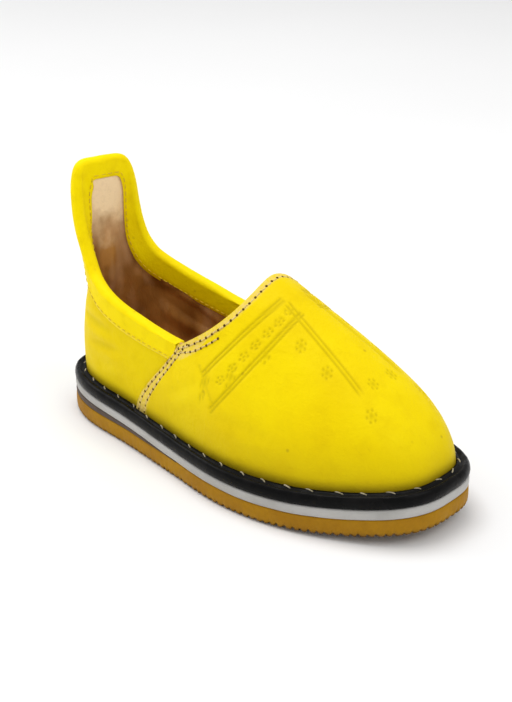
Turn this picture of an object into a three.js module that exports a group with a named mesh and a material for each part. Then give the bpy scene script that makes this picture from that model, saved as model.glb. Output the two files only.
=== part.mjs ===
// A child's babouche slipper on a straight last: a soft leather upper with a pull tab at the heel,
// closed underneath by an insole, on a welt, a foam midsole, a heel wedge and a rubber outsole.
// Millimetres. +X points to the toe, +Y to the left side and +Z up. The origin is on the floor under
// the middle of the sole.
import * as THREE from 'three';

// Sole, in order from the floor
const LENGTH = 135;
const OUTSOLE_THICK = 5.1;
const OUTSOLE_BEVEL = 0.6;
const EDGE_BEVEL = 0.3;
const WEDGE_THICK = 2.2;
const WEDGE_FRONT = -0.04;
const WEDGE_RUN = 0.35;
const WEDGE_EDGE = 0.65;
const MIDSOLE_THICK = { heel: 2.4, toe: 2.9 };
const TOE_SPRING = 4;
const SPRING_START = 0.12;
const WELT_GROOVE = 3.3;
const INSOLE_THICK = 3;
const INSOLE_FREE = 0.4;

// Upper
const WALL = 3;
const VAMP_LAP = 0.8;
const THROAT = { x: 6.4, z: 55.9 };
const PEAK = { high: 1, wide: 0.3 };
const COLLAR_FRONT = { x: -12.8, y: 18, z: 36.1 };
const THROAT_SLOPE = 1.72;
const THROAT_ROUND = 0.76;
const THROAT_ARCH = 1.09;
const SEAM_X = -29.5;
const TAB = { x: -62.3, z: 82, width: 0.745, blend: 2.3, hollow: 3.5, straight: 22 };
const TAB_EARLY = 1.25;
const TAB_UPRIGHT = 0.3;
const TWIST = { turn: 0.26, x: -59, from: 48, tall: 24, early: 2 };
const WAIST = { deep: 1.8, z: 43, tall: 9.5, early: 1.5 };
const SIDE = { wide: 0.13, at: 0.2, long: 0.2 };
const BINDING_LEG = 4.5;
const BINDING_THICK = 0.9;
const BINDING_START = 3;
const RIM_ROUND = 0.3;

// How near neighbouring pieces come
const GAP = 0.3;

// How finely the forms are divided
const VAMP_LINES = 26;
const QUARTER_LINES = 28;
const LINES_CLOSER_AT_SEAM = 1.5;
const LAP_TURN = 0.005;
const WALL_ROWS = 10;
const SOLE_LINES = 96;
const WEDGE_LINES = 22;

// Sole outline: half the width, before the ends are rounded, along the length. at is a share of the
// length, from -0.5 at the heel to 0.5 at the toe.
const OUTLINE = [
  { at: -0.5, half: 23.4 },
  { at: -0.4, half: 24 },
  { at: -0.25, half: 22.8 },
  { at: -0.08, half: 25.4 },
  { at: 0.1, half: 30.2 },
  { at: 0.25, half: 31.2 },
  { at: 0.38, half: 29.5 },
  { at: 0.5, half: 28.1 },
];

// How far the foot of the upper stands in from the edge of the sole
const INSET = [
  { at: -0.5, half: 2.9 },
  { at: -0.12, half: 3 },
  { at: 0.2, half: 3.9 },
  { at: 0.5, half: 3.8 },
];

// Outside of the welt: share is the way from the edge of the sole to the leather, high is above the
// midsole
const WELT_BEAD = [
  { share: 0.12, high: 0.15 },
  { share: 0, high: 1.2 },
  { share: 0, high: 2.8 },
  { share: 0.2, high: 4 },
  { share: 0.45, high: 4.2 },
  { share: 0.72, high: 3.8 },
];

// Crest of the binding, from its outer leg over the rim: rise is a share of the channel's height and
// side says to which side of the rim's middle it stands, by the distances below
const CREST = [
  { rise: 0.75, side: 1 },
  { rise: 1, side: 0 },
  { rise: 0.75, side: -1 },
];
const CREST_WIDE = { outside: 1.5, inside: 0.8 };
const CREST_INNER = 0.85;

// How roundly the outline closes: 1 is an ellipse, less is squarer
const ROUND = { toe: 0.677, heel: 0.732 };

// Shape of the wall at the toe, half way to the seam, and from the seam back: rise is the height of
// the upright part, and bulge how far it leans out
const TOE = { rise: 16.8, bulge: 2 };
const FLANK = { rise: 12.9, bulge: 1.8 };
const REAR = { rise: 9.9, bulge: 0.8 };
const CROWN = { reach: 0.53, slope: 0.47, drop: 8.6 };

// Collar and tab: back is 0 at the middle of the heel and 1 at the side seam, high is above the floor
const COLLAR = [
  { back: 0, high: 75.6 },
  { back: 0.24, high: 75.2 },
  { back: 0.36, high: 73 },
  { back: 0.43, high: 68.5 },
  { back: 0.472, high: 62 },
  { back: 0.515, high: 56 },
  { back: 0.57, high: 50.4 },
  { back: 0.64, high: 46.3 },
  { back: 0.72, high: 43.7 },
  { back: 0.81, high: 41.3 },
  { back: 0.9, high: 38.9 },
  { back: 1, high: 36.1 },
];

const { PI, abs, cos, sin, hypot, sign, sqrt, tanh } = Math;
const clamp = THREE.MathUtils.clamp;
const lerp = THREE.MathUtils.lerp;
const smooth = (t) => t * t * (3 - 2 * t);
const bell = (x) => Math.exp(-x * x);

// A smooth curve through the rows of a table, read at x
function through(xs, ys, x) {
  let i = 0;
  while (i < xs.length - 2 && x > xs[i + 1]) {
    i += 1;
  }
  const slope = (k) => {
    const a = clamp(k - 1, 0, xs.length - 1);
    const b = clamp(k + 1, 0, xs.length - 1);
    return (ys[b] - ys[a]) / (xs[b] - xs[a]);
  };
  const step = xs[i + 1] - xs[i];
  const t = (x - xs[i]) / step;
  const t2 = t * t;
  const t3 = t2 * t;
  return (
    ys[i] * (2 * t3 - 3 * t2 + 1) +
    step * slope(i) * (t3 - 2 * t2 + t) +
    ys[i + 1] * (3 * t2 - 2 * t3) +
    step * slope(i + 1) * (t3 - t2)
  );
}

const column = (table, name) => table.map((row) => row[name]);
const halfWidth = (x) => through(column(OUTLINE, 'at'), column(OUTLINE, 'half'), x / LENGTH);
const footInset = (x) => through(column(INSET, 'at'), column(INSET, 'half'), x / LENGTH);

// Heights of the layers above the floor
function springAt(x) {
  const t = Math.max((x / LENGTH - SPRING_START) / (0.5 - SPRING_START), 0);
  return TOE_SPRING * t * t;
}

function wedgeAt(x) {
  return WEDGE_THICK * clamp((WEDGE_FRONT - x / LENGTH) / WEDGE_RUN, 0, 1);
}

const outsoleTop = (x) => OUTSOLE_THICK + springAt(x);
const wedgeTop = (x) => outsoleTop(x) + wedgeAt(x);
const midsoleThick = (x) => lerp(MIDSOLE_THICK.heel, MIDSOLE_THICK.toe, x / LENGTH + 0.5);
const midsoleTop = (x) => wedgeTop(x) + midsoleThick(x);

// Outline points go round by angle: 0 at the toe, PI at the heel, positive on the left side
function roundness(angle) {
  return lerp(ROUND.heel, ROUND.toe, 0.5 + 0.5 * tanh(3 * cos(angle)));
}

function outlinePoint(angle, inset) {
  const x = (LENGTH / 2 - inset) * cos(angle);
  const across = (halfWidth(x) - inset) * abs(sin(angle)) ** roundness(angle);
  return { x, y: across * sign(sin(angle)) };
}

// The feather line, where the outside of the upper meets the midsole, on the left side
const FOOT_HEEL = -LENGTH / 2 + INSET[0].half;
const FOOT_TOE = LENGTH / 2 - INSET.at(-1).half;

function footPoint(angle) {
  const x = lerp(FOOT_HEEL, FOOT_TOE, 0.5 + 0.5 * cos(angle));
  const y = (halfWidth(x) - footInset(x)) * abs(sin(angle)) ** roundness(angle);
  return { x, y };
}

const SEAM = Math.acos((2 * (SEAM_X - FOOT_HEEL)) / (FOOT_TOE - FOOT_HEEL) - 1);
const FOOT_AT_SEAM = footPoint(SEAM);

function footNormal(angle) {
  const step = 1e-4;
  const a = footPoint(clamp(angle - step, 0, PI));
  const b = footPoint(clamp(angle + step, 0, PI));
  const along = hypot(b.x - a.x, b.y - a.y);
  return { x: (b.y - a.y) / along, y: -(b.x - a.x) / along };
}

// Where a line up the wall ends: on the throat's arch in front of the seam, and behind the seam on
// a raised line above the collar, from which the collar is cut
function throatEnd(angle) {
  const turn = (PI / 2) * (angle / SEAM) ** THROAT_ROUND;
  const z = lerp(COLLAR_FRONT.z, THROAT.z, Math.max(cos(turn), 0) ** THROAT_ARCH);
  const down = (THROAT.z - z) / (THROAT.z - COLLAR_FRONT.z);
  const x = lerp(THROAT.x, COLLAR_FRONT.x, clamp(down, 0, 1) ** THROAT_SLOPE);
  const peak = PEAK.high * bell(turn / PEAK.wide);
  return new THREE.Vector3(x, COLLAR_FRONT.y * sin(turn), z + peak);
}

const towardTab = (back) => sin((PI / 2) * Math.min(TAB_EARLY * back, 1));

function raisedEnd(angle, foot) {
  const back = (angle - SEAM) / (PI - SEAM);
  const along = clamp((foot.x - FOOT_HEEL) / (FOOT_AT_SEAM.x - FOOT_HEEL), 0, 1);
  const x = lerp(TAB.x, COLLAR_FRONT.x, along ** TAB.blend);
  const seamSide = bell(SIDE.at / SIDE.long) * (1 - back);
  const wide = SIDE.wide * (bell((back - SIDE.at) / SIDE.long) - seamSide);
  const y = foot.y * (lerp(COLLAR_FRONT.y / FOOT_AT_SEAM.y, TAB.width, smooth(back)) + wide);
  const z = lerp(COLLAR_FRONT.z, TAB.z, towardTab(back));
  return new THREE.Vector3(x, y, z);
}

// One line up the wall of the last, as the four points of a Bezier curve
function wallLine(angle) {
  const foot = footPoint(angle);
  const normal = footNormal(angle);
  const front = angle <= SEAM;
  const forward = clamp(angle / SEAM, 0, 1);
  const toe = 0.5 + 0.5 * cos(PI * forward);
  const flank = sin(PI * forward);
  const back = front ? 0 : (angle - SEAM) / (PI - SEAM);
  const settle = smooth(back);
  const end = front ? throatEnd(angle) : raisedEnd(angle, foot);
  const mix = (key) => REAR[key] + (FLANK[key] - REAR[key]) * flank + (TOE[key] - REAR[key]) * toe;
  const backRise = TAB_UPRIGHT * (TAB.z - COLLAR_FRONT.z) * towardTab(back);
  const start = new THREE.Vector3(foot.x, foot.y, midsoleTop(foot.x) + GAP / 2);
  const rise = start.clone();
  rise.x += normal.x * mix('bulge');
  rise.y += normal.y * mix('bulge');
  rise.z += mix('rise') + backRise;
  const reach = CROWN.reach * (1 - settle);
  const run = hypot(end.x - foot.x, end.y - foot.y);
  const drop = front ? CROWN.drop * (1 - toe) : lerp(CROWN.drop, TAB.straight, settle);
  const crown = end.clone();
  crown.x -= reach * (end.x - foot.x) - TAB.hollow * settle * Math.max(-normal.x, 0) ** 2;
  crown.y -= reach * (end.y - foot.y);
  crown.z -= CROWN.slope * reach * run + drop;
  return [start, rise, crown, end];
}

// A point of the last: angle goes round as on the outline, up is 0 at the foot and 1 at the end of
// the wall's line
function lastPoint(angle, up) {
  const turn = abs(angle) > PI ? 2 * PI - abs(angle) : abs(angle);
  const side = abs(angle) > PI ? -sign(angle) : sign(angle);
  const curve = new THREE.CubicBezierCurve3(...wallLine(turn));
  const p = curve.getPoint(up);
  const back = Math.max((turn - SEAM) / (PI - SEAM), 0);
  const waist = smooth(clamp(WAIST.early * back, 0, 1)) * bell((p.z - WAIST.z) / WAIST.tall);
  const normal = footNormal(turn);
  p.x -= WAIST.deep * waist * normal.x;
  p.y -= WAIST.deep * waist * normal.y;
  p.y *= side;
  return twisted(p, back);
}

// The tab stands a little turned to the right
function twisted(p, back) {
  const rising = smooth(clamp((p.z - TWIST.from) / TWIST.tall, 0, 1));
  const turn = TWIST.turn * rising * smooth(clamp(TWIST.early * back, 0, 1));
  const from = p.x - TWIST.x;
  const x = TWIST.x + from * cos(turn) + p.y * sin(turn);
  const y = p.y * cos(turn) - from * sin(turn);
  return p.set(x, y, p.z);
}

function lastFrame(angle, up) {
  const turnStep = 2e-3;
  const upStep = 1e-3;
  const low = Math.max(up - upStep, 0);
  const high = Math.min(up + upStep, 1);
  const around = lastPoint(angle + turnStep, up).sub(lastPoint(angle - turnStep, up));
  around.divideScalar(2 * turnStep);
  const rising = lastPoint(angle, high).sub(lastPoint(angle, low));
  rising.divideScalar(high - low);
  const normal = around.clone().cross(rising).normalize();
  return { point: lastPoint(angle, up), around, rising, normal };
}

// The same, moved by depth into the wall
function skinPoint(angle, up, depth) {
  const { point, normal } = lastFrame(angle, up);
  return point.addScaledVector(normal, -depth);
}

// How far up the wall's line a height is met
function upAtHeight(angle, height) {
  let low = 0;
  let high = 1;
  for (let i = 0; i < 30; i += 1) {
    const middle = (low + high) / 2;
    if (lastPoint(angle, middle).z < height) {
      low = middle;
    } else {
      high = middle;
    }
  }
  return (low + high) / 2;
}

// Lines round the left side of the upper, from the toe to the middle of the heel: its angle, where
// its top edge is, and how deep its outer face lies
function sideLines() {
  const lines = [];
  for (let i = 0; i <= VAMP_LINES; i += 1) {
    lines.push({ angle: (SEAM * i) / VAMP_LINES, up: 1, outer: 0 });
  }
  const rows = COLLAR.map((row, i) => i);
  for (let i = 0; i <= QUARTER_LINES; i += 1) {
    const t = (COLLAR.length - 1) * (1 - (i / QUARTER_LINES) ** LINES_CLOSER_AT_SEAM);
    const back = through(rows, column(COLLAR, 'back'), t);
    const high = through(rows, column(COLLAR, 'high'), t);
    const lapStep = i === 0 ? LAP_TURN : 0;
    const angle = PI - back * (PI - SEAM) + lapStep;
    lines.push({ angle, up: upAtHeight(angle, high), outer: VAMP_LAP });
  }
  return lines;
}

function wholeLoop(half) {
  const right = half.slice(1, -1).reverse();
  return [...half, ...right.map((line) => ({ ...line, angle: -line.angle }))];
}

const LINES = wholeLoop(sideLines());

// At the top edge, the direction that leads out of the leather within its own surface
function edgeFrame(lines, i) {
  const n = lines.length;
  const edge = (k) => lastPoint(lines[(k + n) % n].angle, lines[(k + n) % n].up);
  const frame = lastFrame(lines[i].angle, lines[i].up);
  const along = edge(i + 1).sub(edge(i - 1));
  const out = along.clone().cross(frame.normal).normalize().negate();
  return { ...frame, out };
}

// A point on the last a given way along a direction in its surface
function stepAlong(line, frame, direction, distance) {
  const want = direction.clone().multiplyScalar(distance);
  const a = frame.around.dot(frame.around);
  const b = frame.around.dot(frame.rising);
  const c = frame.rising.dot(frame.rising);
  const p = want.dot(frame.around);
  const q = want.dot(frame.rising);
  const size = a * c - b * b;
  const angle = line.angle + (p * c - q * b) / size;
  const up = line.up + (q * a - p * b) / size;
  return { angle, up: clamp(up, 0, 1) };
}

// Closed bodies from rings of points
function bodyFrom(points, triangles) {
  const geometry = new THREE.BufferGeometry();
  const flat = points.flatMap((p) => [p.x, p.y, p.z]);
  geometry.setAttribute('position', new THREE.Float32BufferAttribute(flat, 3));
  geometry.setIndex(triangles);
  geometry.computeVertexNormals();
  return geometry;
}

// Quads between sections, each an open or a closed loop of points wound the same way
function joinSections(sections, closedRound) {
  const size = sections[0].length;
  const count = sections.length;
  const triangles = [];
  const last = closedRound ? count : count - 1;
  for (let i = 0; i < last; i += 1) {
    const next = (i + 1) % count;
    for (let k = 0; k < size; k += 1) {
      const after = (k + 1) % size;
      const a = i * size + k;
      const b = next * size + k;
      const c = next * size + after;
      const d = i * size + after;
      triangles.push(a, b, c, a, c, d);
    }
  }
  return triangles;
}

// A ring with the same section shape all the way round
function ringBody(sections) {
  return bodyFrom(sections.flat(), joinSections(sections, true));
}

// A flat layer: loops stacked from the bottom to the top, closed below and above by rungs that
// join each point to the one across the foot
function layerBody(loops) {
  const n = loops[0].length;
  const triangles = [];
  for (let i = 0; i < loops.length - 1; i += 1) {
    for (let k = 0; k < n; k += 1) {
      const a = i * n + k;
      const b = i * n + ((k + 1) % n);
      triangles.push(a, b, b + n, a, b + n, a + n);
    }
  }
  const top = (loops.length - 1) * n;
  for (let k = 0; k < n / 2; k += 1) {
    const a = k;
    const b = k + 1;
    const c = (n - k - 1) % n;
    const d = (n - k) % n;
    if (c !== b) {
      triangles.push(a, c, b, top + a, top + b, top + c);
    }
    if (d !== a) {
      triangles.push(a, d, c, top + a, top + c, top + d);
    }
  }
  return bodyFrom(loops.flat(), triangles);
}

const soleLoop = (inset, height, angles) =>
  angles.map((angle) => {
    const { x, y } = outlinePoint(angle, inset);
    return new THREE.Vector3(x, y, height(x));
  });

const SOLE_ANGLES = Array.from({ length: SOLE_LINES }, (_, i) => {
  const angle = (2 * PI * i) / SOLE_LINES;
  return angle > PI ? angle - 2 * PI : angle;
});

function outsoleBody() {
  return layerBody([
    soleLoop(OUTSOLE_BEVEL, (x) => springAt(x), SOLE_ANGLES),
    soleLoop(0, (x) => springAt(x) + OUTSOLE_BEVEL, SOLE_ANGLES),
    soleLoop(0, (x) => outsoleTop(x) - OUTSOLE_BEVEL, SOLE_ANGLES),
    soleLoop(EDGE_BEVEL, (x) => outsoleTop(x) - GAP / 2, SOLE_ANGLES),
  ]);
}

function midsoleBody() {
  return layerBody([
    soleLoop(EDGE_BEVEL, (x) => wedgeTop(x) + GAP / 2, SOLE_ANGLES),
    soleLoop(EDGE_BEVEL / 3, (x) => midsoleTop(x) - midsoleThick(x) / 2, SOLE_ANGLES),
    soleLoop(EDGE_BEVEL, (x) => midsoleTop(x) - GAP / 2, SOLE_ANGLES),
  ]);
}

// The wedge is the rear part of the outline, closed by a straight front where it gets thin
function wedgeBody() {
  const front = LENGTH * (WEDGE_FRONT - (WEDGE_RUN * WEDGE_EDGE) / WEDGE_THICK);
  const start = Math.acos((2 * front) / LENGTH);
  const steps = WEDGE_LINES;
  const side = Array.from({ length: steps + 1 }, (_, i) => start + ((PI - start) * i) / steps);
  const angles = [...side, ...side.slice(0, -1).reverse().map((angle) => -angle)];
  const loop = (height) => soleLoop(EDGE_BEVEL, height, angles);
  const loops = [
    loop((x) => outsoleTop(x) + GAP / 2),
    loop((x) => wedgeTop(x) - GAP / 2),
  ];
  const n = angles.length;
  const triangles = [];
  for (let k = 0; k < n; k += 1) {
    const b = (k + 1) % n;
    triangles.push(k, b, b + n, k, b + n, k + n);
  }
  for (let k = 0; k < steps; k += 1) {
    const across = n - 1 - k;
    triangles.push(k, across, k + 1, n + k, n + k + 1, n + across);
    if (across - 1 !== k + 1) {
      triangles.push(across, across - 1, k + 1, n + across, n + k + 1, n + across - 1);
    }
  }
  return bodyFrom(loops.flat(), triangles);
}

// The upper: at each line a closed section, up the outer face, over the rim and down the inner face
function upperBody() {
  const sections = LINES.map((line, i) => {
    const section = [];
    for (let k = 0; k <= WALL_ROWS; k += 1) {
      section.push(skinPoint(line.angle, (line.up * k) / WALL_ROWS, line.outer));
    }
    const rim = edgeFrame(LINES, i);
    const thick = WALL - line.outer;
    const crest = rim.point.clone().addScaledVector(rim.normal, -(line.outer + thick / 2));
    section.push(crest.addScaledVector(rim.out, RIM_ROUND * thick));
    for (let k = WALL_ROWS; k >= 0; k -= 1) {
      section.push(skinPoint(line.angle, (line.up * k) / WALL_ROWS, WALL));
    }
    section.at(-1).z = section[0].z;
    return section;
  });
  return ringBody(sections);
}

// The insole lies on the midsole inside the foot of the wall
function insoleBody() {
  const loop = (height) =>
    LINES.map((line) => {
      const p = skinPoint(line.angle, 0, WALL + INSOLE_FREE);
      return new THREE.Vector3(p.x, p.y, midsoleTop(p.x) + height);
    });
  return layerBody([loop(GAP / 2), loop(INSOLE_THICK)]);
}

// The welt: a rubber band between the edge of the sole and the foot of the wall, crowned outside
// and lower where its stitches lie against the leather
function weltBody() {
  const sections = LINES.map((line) => {
    const edge = outlinePoint(line.angle, 0);
    const base = midsoleTop(edge.x);
    const wallAt = (height) => {
      const foot = lastPoint(line.angle, 0);
      const up = upAtHeight(abs(line.angle), foot.z + height);
      return skinPoint(line.angle, up, line.outer - GAP);
    };
    const inner = wallAt(0);
    const groove = wallAt(WELT_GROOVE);
    const across = (share, height) => {
      const p = new THREE.Vector3(edge.x, edge.y, base + height);
      p.x = lerp(edge.x, inner.x, share);
      p.y = lerp(edge.y, inner.y, share);
      return p;
    };
    inner.z = base + GAP / 2;
    groove.z = base + WELT_GROOVE;
    return [...WELT_BEAD.map((row) => across(row.share, row.high)), groove, inner];
  });
  return ringBody(sections);
}

// The folded strip on the collar and round the tab: a channel over the upper's rim
function bindingBody() {
  const first = VAMP_LINES + BINDING_START;
  const strip = [];
  for (let i = first; i <= LINES.length - first; i += 1) {
    strip.push(i);
  }
  const sections = strip.map((i) => {
    const line = LINES[i];
    const rim = edgeFrame(LINES, i);
    const legs = (distance, depth) => {
      const at = stepAlong(line, rim, rim.out, -distance);
      return skinPoint(at.angle, at.up, depth);
    };
    const middle = (VAMP_LAP + WALL) / 2;
    const crest = (rise, side, wide) => {
      const p = rim.point.clone().addScaledVector(rim.normal, side * wide - middle);
      return p.addScaledVector(rim.out, rise);
    };
    const inside = RIM_ROUND * (WALL - VAMP_LAP) + GAP;
    const outside = inside + BINDING_THICK;
    const near = { outer: VAMP_LAP - GAP, inner: WALL + GAP };
    const far = { outer: near.outer - BINDING_THICK, inner: near.inner + BINDING_THICK };
    const places = [BINDING_LEG, BINDING_LEG / 2, 0];
    return [
      ...places.map((d) => legs(d, far.outer)),
      ...CREST.map(({ rise, side }) => crest(rise * outside, side, CREST_WIDE.outside)),
      ...places.toReversed().map((d) => legs(d, far.inner)),
      ...places.map((d) => legs(d, near.inner)),
      crest(CREST_INNER * inside, -1, CREST_WIDE.inside),
      crest(inside, 0, 0),
      crest(CREST_INNER * inside, 1, CREST_WIDE.inside),
      ...places.toReversed().map((d) => legs(d, near.outer)),
    ];
  });
  const size = sections[0].length;
  const triangles = joinSections(sections, false);
  const end = (sections.length - 1) * size;
  for (let k = 0; k < size / 2 - 1; k += 1) {
    const across = size - 1 - k;
    triangles.push(k, k + 1, across, k + 1, across - 1, across);
    triangles.push(end + k, end + across, end + k + 1, end + k + 1, end + across, end + across - 1);
  }
  return bodyFrom(sections.flat(), triangles);
}

const FINISH = {
  ochreRubber: { color: 0xb87414, roughness: 0.6 },
  brownRubber: { color: 0x6e5440, roughness: 0.7 },
  whiteFoam: { color: 0xd9d7d2, roughness: 0.65 },
  blackRubber: { color: 0x121211, roughness: 0.3 },
  tanBoard: { color: 0xb0804f, roughness: 0.75 },
  yellowLeather: { color: 0xf0d400, roughness: 0.5 },
};

const part = new THREE.Group();

function addPiece(name, geometry, finish) {
  const material = new THREE.MeshStandardMaterial({ ...FINISH[finish], metalness: 0 });
  const mesh = new THREE.Mesh(geometry, material);
  mesh.name = name;
  part.add(mesh);
}

addPiece('outsole', outsoleBody(), 'ochreRubber');
addPiece('heel_wedge', wedgeBody(), 'brownRubber');
addPiece('midsole', midsoleBody(), 'whiteFoam');
addPiece('welt', weltBody(), 'blackRubber');
addPiece('insole', insoleBody(), 'tanBoard');
addPiece('upper', upperBody(), 'yellowLeather');
addPiece('collar_binding', bindingBody(), 'yellowLeather');

export default part;
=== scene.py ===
"""Looks of a child's babouche slipper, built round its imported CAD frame.

The last and the sole are the CAD's own forms, repeated here in millimetres and divided finely, so
each piece lies where its CAD solid does. Meshes are scaled to metres as they are made.
"""

import math

import bpy
import numpy as np
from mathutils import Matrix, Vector


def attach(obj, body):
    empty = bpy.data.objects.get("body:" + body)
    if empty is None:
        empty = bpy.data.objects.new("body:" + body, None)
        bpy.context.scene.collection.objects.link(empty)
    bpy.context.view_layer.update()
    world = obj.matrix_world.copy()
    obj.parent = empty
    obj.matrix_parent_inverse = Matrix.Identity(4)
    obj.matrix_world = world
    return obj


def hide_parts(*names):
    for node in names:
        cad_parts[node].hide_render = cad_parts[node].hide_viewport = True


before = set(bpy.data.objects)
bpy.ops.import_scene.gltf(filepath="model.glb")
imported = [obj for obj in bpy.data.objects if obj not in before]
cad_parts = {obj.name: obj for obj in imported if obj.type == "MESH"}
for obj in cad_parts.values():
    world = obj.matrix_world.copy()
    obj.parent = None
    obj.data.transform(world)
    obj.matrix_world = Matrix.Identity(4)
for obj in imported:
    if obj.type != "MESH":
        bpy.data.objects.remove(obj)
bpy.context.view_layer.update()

PI = math.pi
METRES = 0.001
SEED = 7

# ---- sizes of the CAD, millimetres
LENGTH = 135.0
OUTSOLE_THICK = 5.1
WEDGE_THICK = 2.2
WEDGE_FRONT = -0.04
WEDGE_RUN = 0.35
MIDSOLE_HEEL, MIDSOLE_TOE = 2.4, 2.9
TOE_SPRING = 4.0
SPRING_START = 0.12
INSOLE_THICK = 3.0
THROAT_X, THROAT_Z = 6.4, 55.9
PEAK_HIGH, PEAK_WIDE = 1.0, 0.3
FRONT_X, FRONT_Y, FRONT_Z = -12.8, 18.0, 36.1
THROAT_SLOPE = 1.72
THROAT_ROUND = 0.76
THROAT_ARCH = 1.09
SEAM_X = -29.5
TAB_X, TAB_Z, TAB_WIDTH, TAB_BLEND = -62.3, 82.0, 0.745, 2.3
TAB_HOLLOW, TAB_STRAIGHT = 3.5, 22.0
TWIST, TWIST_X, TWIST_FROM, TWIST_TALL = 0.26, -59.0, 48.0, 24.0
WAIST_DEEP, WAIST_Z, WAIST_TALL = 1.8, 43.0, 9.5
SIDE_WIDE, SIDE_AT, SIDE_LONG = 0.13, 0.2, 0.2
CROWN_REACH, CROWN_SLOPE, CROWN_DROP = 0.53, 0.47, 8.6
TOE_RISE, FLANK_RISE, REAR_RISE = 16.8, 12.9, 9.9
TOE_BULGE, FLANK_BULGE, REAR_BULGE = 2.0, 1.8, 0.8
ROUND_TOE, ROUND_HEEL = 0.677, 0.732
GAP = 0.3

# share of the length, half the width
OUTLINE = np.array(
    [(-0.5, 23.4), (-0.4, 24), (-0.25, 22.8), (-0.08, 25.4),
     (0.1, 30.2), (0.25, 31.2), (0.38, 29.5), (0.5, 28.1)]
)
# share of the length, how far the upper's foot stands in from the sole's edge
INSET = np.array([(-0.5, 2.9), (-0.12, 3), (0.2, 3.9), (0.5, 3.8)])
# share of the way from the heel to the side seam, height of the top edge
COLLAR = np.array(
    [(0, 75.6), (0.24, 75.2), (0.36, 73.0), (0.43, 68.5), (0.472, 62), (0.515, 56),
     (0.57, 50.4), (0.64, 46.3), (0.72, 43.7), (0.81, 41.3), (0.9, 38.9), (1, 36.1)]
)

# ---- the leather's own sizes
LAP = 0.8
VAMP_THICK = 1.5
LAP_THICK = 0.72
LINING_FACE = 2.6
LINING_BACK = 1.56
QUARTER_BACK = 1.5
BINDING_OUT = 5.6
BINDING_IN = 6.2
BINDING_THICK = 0.85
SKIVED = 0.45
TAB_LEAN = 0.3
TAB_TOP_MARGIN = 4.6
TAB_OFF_CENTRE = 0.9
TAB_LEG_TAPER = 0.9


# ---- the last
def through(xs, ys, x):
    """A smooth curve through the rows of a table."""
    x = np.asarray(x, float)
    n = len(xs)
    i = np.clip(np.searchsorted(xs, x, side="left") - 1, 0, n - 2)
    before, after = np.maximum(np.arange(n) - 1, 0), np.minimum(np.arange(n) + 1, n - 1)
    slope = (ys[after] - ys[before]) / (xs[after] - xs[before])
    step = xs[i + 1] - xs[i]
    t = (x - xs[i]) / step
    t2, t3 = t * t, t * t * t
    return (
        ys[i] * (2 * t3 - 3 * t2 + 1)
        + step * slope[i] * (t3 - 2 * t2 + t)
        + ys[i + 1] * (3 * t2 - 2 * t3)
        + step * slope[i + 1] * (t3 - t2)
    )


def blend(a, b, share):
    return a + (b - a) * share


def half_width(x):
    return through(OUTLINE[:, 0], OUTLINE[:, 1], x / LENGTH)


def spring_at(x):
    t = np.maximum((x / LENGTH - SPRING_START) / (0.5 - SPRING_START), 0)
    return TOE_SPRING * t * t


def wedge_at(x):
    return WEDGE_THICK * np.clip((WEDGE_FRONT - x / LENGTH) / WEDGE_RUN, 0, 1)


def outsole_top(x):
    return OUTSOLE_THICK + spring_at(x)


def wedge_top(x):
    return outsole_top(x) + wedge_at(x)


def midsole_thick(x):
    return blend(MIDSOLE_HEEL, MIDSOLE_TOE, x / LENGTH + 0.5)


def midsole_top(x):
    return wedge_top(x) + midsole_thick(x)


def smooth(t):
    t = np.clip(t, 0, 1)
    return t * t * (3 - 2 * t)


def bell(x, width):
    return np.exp(-((x / width) ** 2))


def roundness(angle):
    toe = 0.5 + 0.5 * np.tanh(3 * np.cos(angle))
    return blend(ROUND_HEEL, ROUND_TOE, toe)


def signed(angle):
    """The same angles from -PI to PI."""
    return np.where(angle > PI, angle - 2 * PI, angle)


def sole_angles(count):
    return signed(np.linspace(0, 2 * PI, count, endpoint=False))


def outline_point(angle, inset=0.0):
    x = (LENGTH / 2 - inset) * np.cos(angle)
    across = (half_width(x) - inset) * np.abs(np.sin(angle)) ** roundness(angle)
    return x, across * np.sign(np.sin(angle))


FOOT_HEEL = -LENGTH / 2 + INSET[0, 1]
FOOT_TOE = LENGTH / 2 - INSET[-1, 1]


def foot_point(angle):
    x = blend(FOOT_HEEL, FOOT_TOE, 0.5 + 0.5 * np.cos(angle))
    inset = through(INSET[:, 0], INSET[:, 1], x / LENGTH)
    return x, (half_width(x) - inset) * np.abs(np.sin(angle)) ** roundness(angle)


SEAM = math.acos(2 * (SEAM_X - FOOT_HEEL) / (FOOT_TOE - FOOT_HEEL) - 1)
SEAM_FOOT_X, SEAM_FOOT_Y = (float(v) for v in foot_point(np.array(SEAM)))


def matched(*values):
    """Arrays of one shape."""
    return np.broadcast_arrays(*(np.asarray(value, float) for value in values))


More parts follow.
